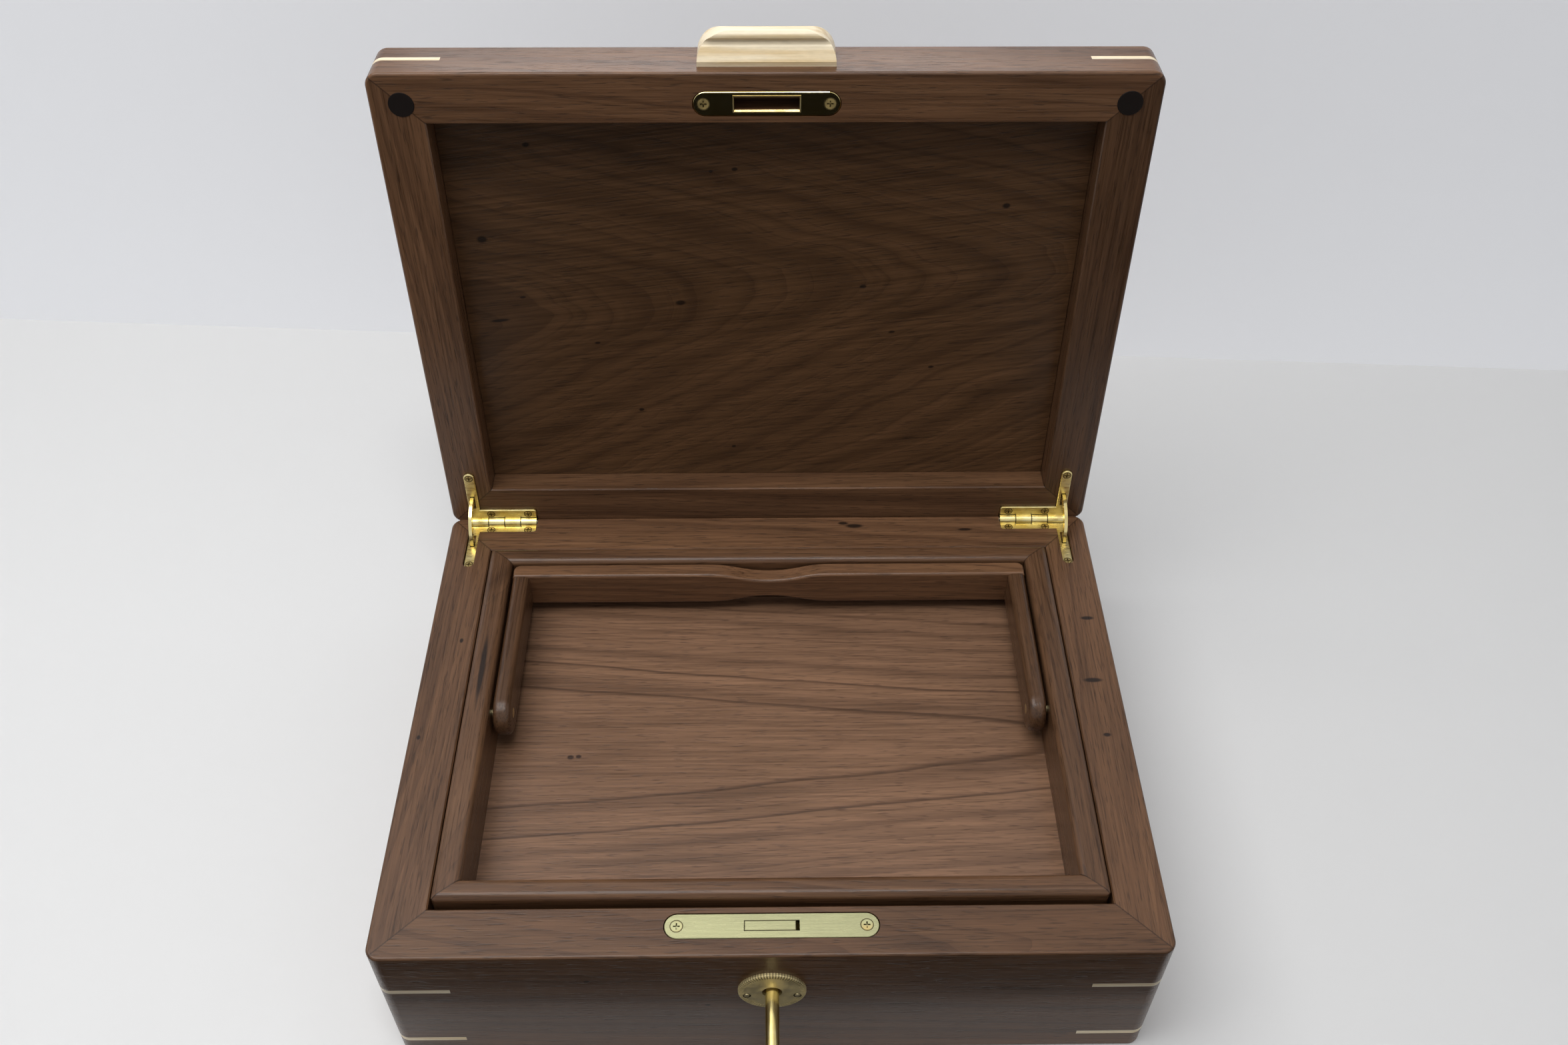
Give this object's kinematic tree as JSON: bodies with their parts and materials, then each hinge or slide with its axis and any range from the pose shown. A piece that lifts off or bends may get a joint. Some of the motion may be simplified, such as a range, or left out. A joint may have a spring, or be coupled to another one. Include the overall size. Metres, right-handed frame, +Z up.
{
  "type": "watch box",
  "caption": "Hinged walnut watch box standing open, with quadrant hinges, a mortise lock with its key, a maple lid pull and a lift-out tray with a folding bail handle.",
  "frame": {"origin": "centre of the underside, on the surface that the box stands on", "axes": "+X to the right of someone facing the lock, +Y to the hinged back, +Z up"},
  "size_m": [0.28, 0.2888, 0.2911],
  "materials": {
    "walnut": "satin oiled walnut, grain along each board",
    "figured_walnut": "satin oiled walnut with dark figure and small knots",
    "plain_walnut": "satin straight-grained walnut",
    "maple": "satin pale maple",
    "maple_inlay": "pale maple flush with the walnut",
    "polished_brass": "polished yellow brass",
    "satin_brass": "satin pale brass",
    "lock_brass": "plain rolled brass",
    "dark_buffer": "soft dark buffer"
  },
  "bodies": {
    "base": {"base_back": "walnut", "base_bottom": "plain_walnut", "base_front": "walnut", "base_left": "walnut", "base_right": "walnut", "base_splines": "maple_inlay", "escutcheon": "polished_brass", "escutcheon_pins": "polished_brass", "left_hinge_base_leaf": "polished_brass", "left_hinge_base_screws": "polished_brass", "left_hinge_pin": "polished_brass", "lock_cap": "lock_brass", "lock_case": "lock_brass", "lock_guide_studs": "lock_brass", "lock_key_pin": "lock_brass", "lock_screws": "polished_brass", "lock_selvedge": "satin_brass", "right_hinge_base_leaf": "polished_brass", "right_hinge_base_screws": "polished_brass", "right_hinge_pin": "polished_brass", "tray_bearers": "plain_walnut"},
    "lid": {"left_hinge_lid_leaf": "polished_brass", "left_hinge_lid_screws": "polished_brass", "lid_back": "walnut", "lid_buffers": "dark_buffer", "lid_front": "walnut", "lid_left": "walnut", "lid_panel": "figured_walnut", "lid_pull": "maple", "lid_right": "walnut", "lid_splines": "maple_inlay", "right_hinge_lid_leaf": "polished_brass", "right_hinge_lid_screws": "polished_brass", "striker_plate": "polished_brass", "striker_screws": "polished_brass"},
    "left_stay": {"left_hinge_stay": "polished_brass"},
    "right_stay": {"right_hinge_stay": "polished_brass"},
    "tray": {"handle_pins": "polished_brass", "tray_back": "walnut", "tray_floor": "plain_walnut", "tray_front": "walnut", "tray_left": "walnut", "tray_right": "walnut"},
    "tray_handle": {"handle_crossbar": "walnut", "handle_left_arm": "walnut", "handle_right_arm": "walnut"},
    "key": {"key": "polished_brass"},
    "lock_bolt": {"lock_bolt": "satin_brass"}
  },
  "joints": [
    {"name": "lid_hinge", "type": "hinge", "parent": "base", "child": "lid", "pos_m": [0, 0.104, 0.07195], "axis": [1, 0, 0], "range_deg": [0, 93.5]},
    {"name": "left_stay_hinge", "type": "hinge", "parent": "base", "child": "left_stay", "pos_m": [0, 0.104, 0.07195], "axis": [1, 0, 0], "range_deg": [0, 46.75]},
    {"name": "right_stay_hinge", "type": "hinge", "parent": "base", "child": "right_stay", "pos_m": [0, 0.104, 0.07195], "axis": [1, 0, 0], "range_deg": [0, 46.75]},
    {"name": "tray_lift", "type": "slide", "parent": "base", "child": "tray", "axis": [0, 0, 1], "range_m": [0, 0.12]},
    {"name": "tray_handle_pivot", "type": "hinge", "parent": "tray", "child": "tray_handle", "pos_m": [0, 0.0032, 0.0669], "axis": [1, 0, 0], "range_deg": [0, 180]},
    {"name": "key_turn", "type": "hinge", "parent": "base", "child": "key", "pos_m": [0, -0.1052, 0.0487], "axis": [0, 1, 0], "range_deg": [0, 64]},
    {"name": "lock_bolt_slide", "type": "slide", "parent": "base", "child": "lock_bolt", "axis": [0.4626, 0, 0.8866], "range_m": [0, 0.01016]}
  ],
  "couplings": [
    {"joint": "left_stay_hinge", "follows": "lid_hinge", "ratio": 0.5},
    {"joint": "right_stay_hinge", "follows": "lid_hinge", "ratio": 0.5},
    {"joint": "lock_bolt_slide", "follows": "key_turn", "m_per_rad": 0.0090966}
  ]
}
